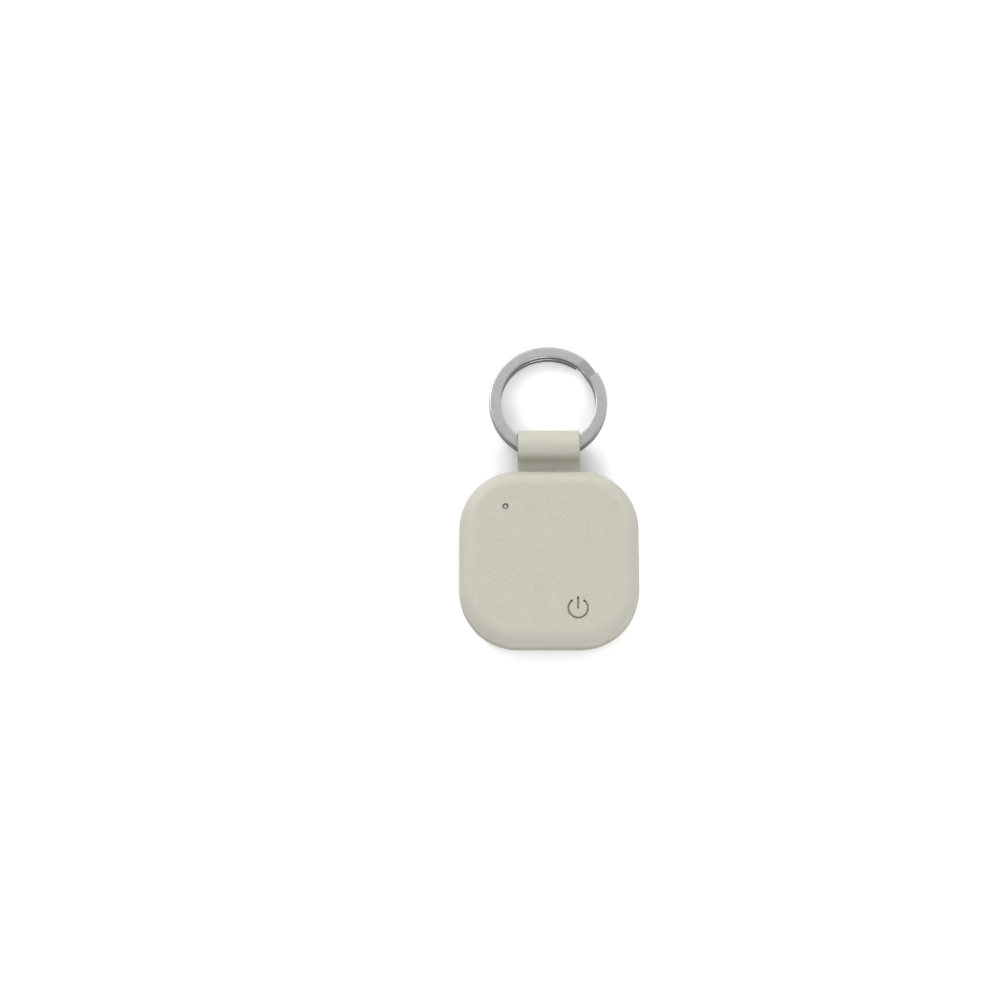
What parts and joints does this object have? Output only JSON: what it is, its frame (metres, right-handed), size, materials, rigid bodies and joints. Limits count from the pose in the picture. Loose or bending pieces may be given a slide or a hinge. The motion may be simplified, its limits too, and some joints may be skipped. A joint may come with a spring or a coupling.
{
  "type": "bluetooth tracker tag",
  "caption": "Leather-covered rounded-square tracker tag with a press button under its face, a status light, a leather strap loop and a split key ring.",
  "frame": {"origin": "centre of the case's flat back, on the surface that the tag lies on", "axes": "+Z out of the case's face, +Y from the case towards the strap and the split ring, +X to the right when the face is looked at with the ring at the top"},
  "size_m": [0.038, 0.0665, 0.0086],
  "materials": {
    "case_leather": "matte",
    "strap_leather": "matte",
    "ring_steel": "satin",
    "shell_plastic": "matte",
    "button_plastic": "satin",
    "seal_rubber": "matte",
    "screw_steel": "satin",
    "clamp_steel": "satin",
    "light_pipe_clear": "gloss",
    "led_package": "gloss",
    "board_laminate": "satin",
    "chip_epoxy": "matte",
    "shield_tinplate": "satin",
    "antenna_ceramic": "satin",
    "crystal_can": "satin",
    "passive_ceramic": "satin",
    "switch_plastic": "satin",
    "spring_steel": "satin",
    "buzzer_brass": "satin",
    "buzzer_ceramic": "satin",
    "contact_gold": "polished",
    "coil_copper": "satin",
    "wire_insulation": "satin",
    "ferrite": "matte",
    "battery_pouch": "satin"
  },
  "bodies": {
    "tag": {"front_leather_cover": "case_leather", "rear_leather_cover": "case_leather", "front_shell": "shell_plastic", "rear_shell": "shell_plastic", "seal_gasket": "seal_rubber", "strap_tail": "strap_leather", "strap_clamp_plate": "clamp_steel", "strap_screws": "screw_steel", "switch_base": "switch_plastic", "switch_frame": "spring_steel", "switch_dome": "spring_steel", "light_pipe": "light_pipe_clear", "status_led": "led_package", "main_board": "board_laminate", "shield_can": "shield_tinplate", "bluetooth_chip": "chip_epoxy", "charge_chip": "chip_epoxy", "crystal": "crystal_can", "chip_antenna": "antenna_ceramic", "board_passives": "passive_ceramic", "board_screws": "screw_steel", "buzzer_plate": "buzzer_brass", "buzzer_ceramic": "buzzer_ceramic", "buzzer_contacts": "contact_gold", "charging_coil": "coil_copper", "coil_leads": "coil_copper", "ferrite_sheet": "ferrite", "battery_cell": "battery_pouch", "battery_protection_board": "board_laminate", "battery_leads": "wire_insulation"},
    "power_button": {"button_plunger": "button_plastic", "switch_stem": "button_plastic"},
    "strap": {"strap_loop": "strap_leather"},
    "ring": {"split_ring": "ring_steel"}
  },
  "joints": [
    {"name": "power_button_press", "type": "slide", "parent": "tag", "child": "power_button", "axis": [0, 0, -1], "range_m": [0, 0.0002], "stiffness_N_per_m": 3000, "deforming": ["switch_dome"]},
    {"name": "strap_flex", "type": "hinge", "parent": "tag", "child": "strap", "pos_m": [0, 0.0193, 0.0043], "axis": [1, 0, 0], "range_deg": [-40, 40], "stiffness_Nm_per_rad": 0.02},
    {"name": "ring_swing", "type": "hinge", "parent": "strap", "child": "ring", "pos_m": [0, 0.0246, 0.0043], "axis": [1, 0, 0], "range_deg": [-105, 120]}
  ]
}
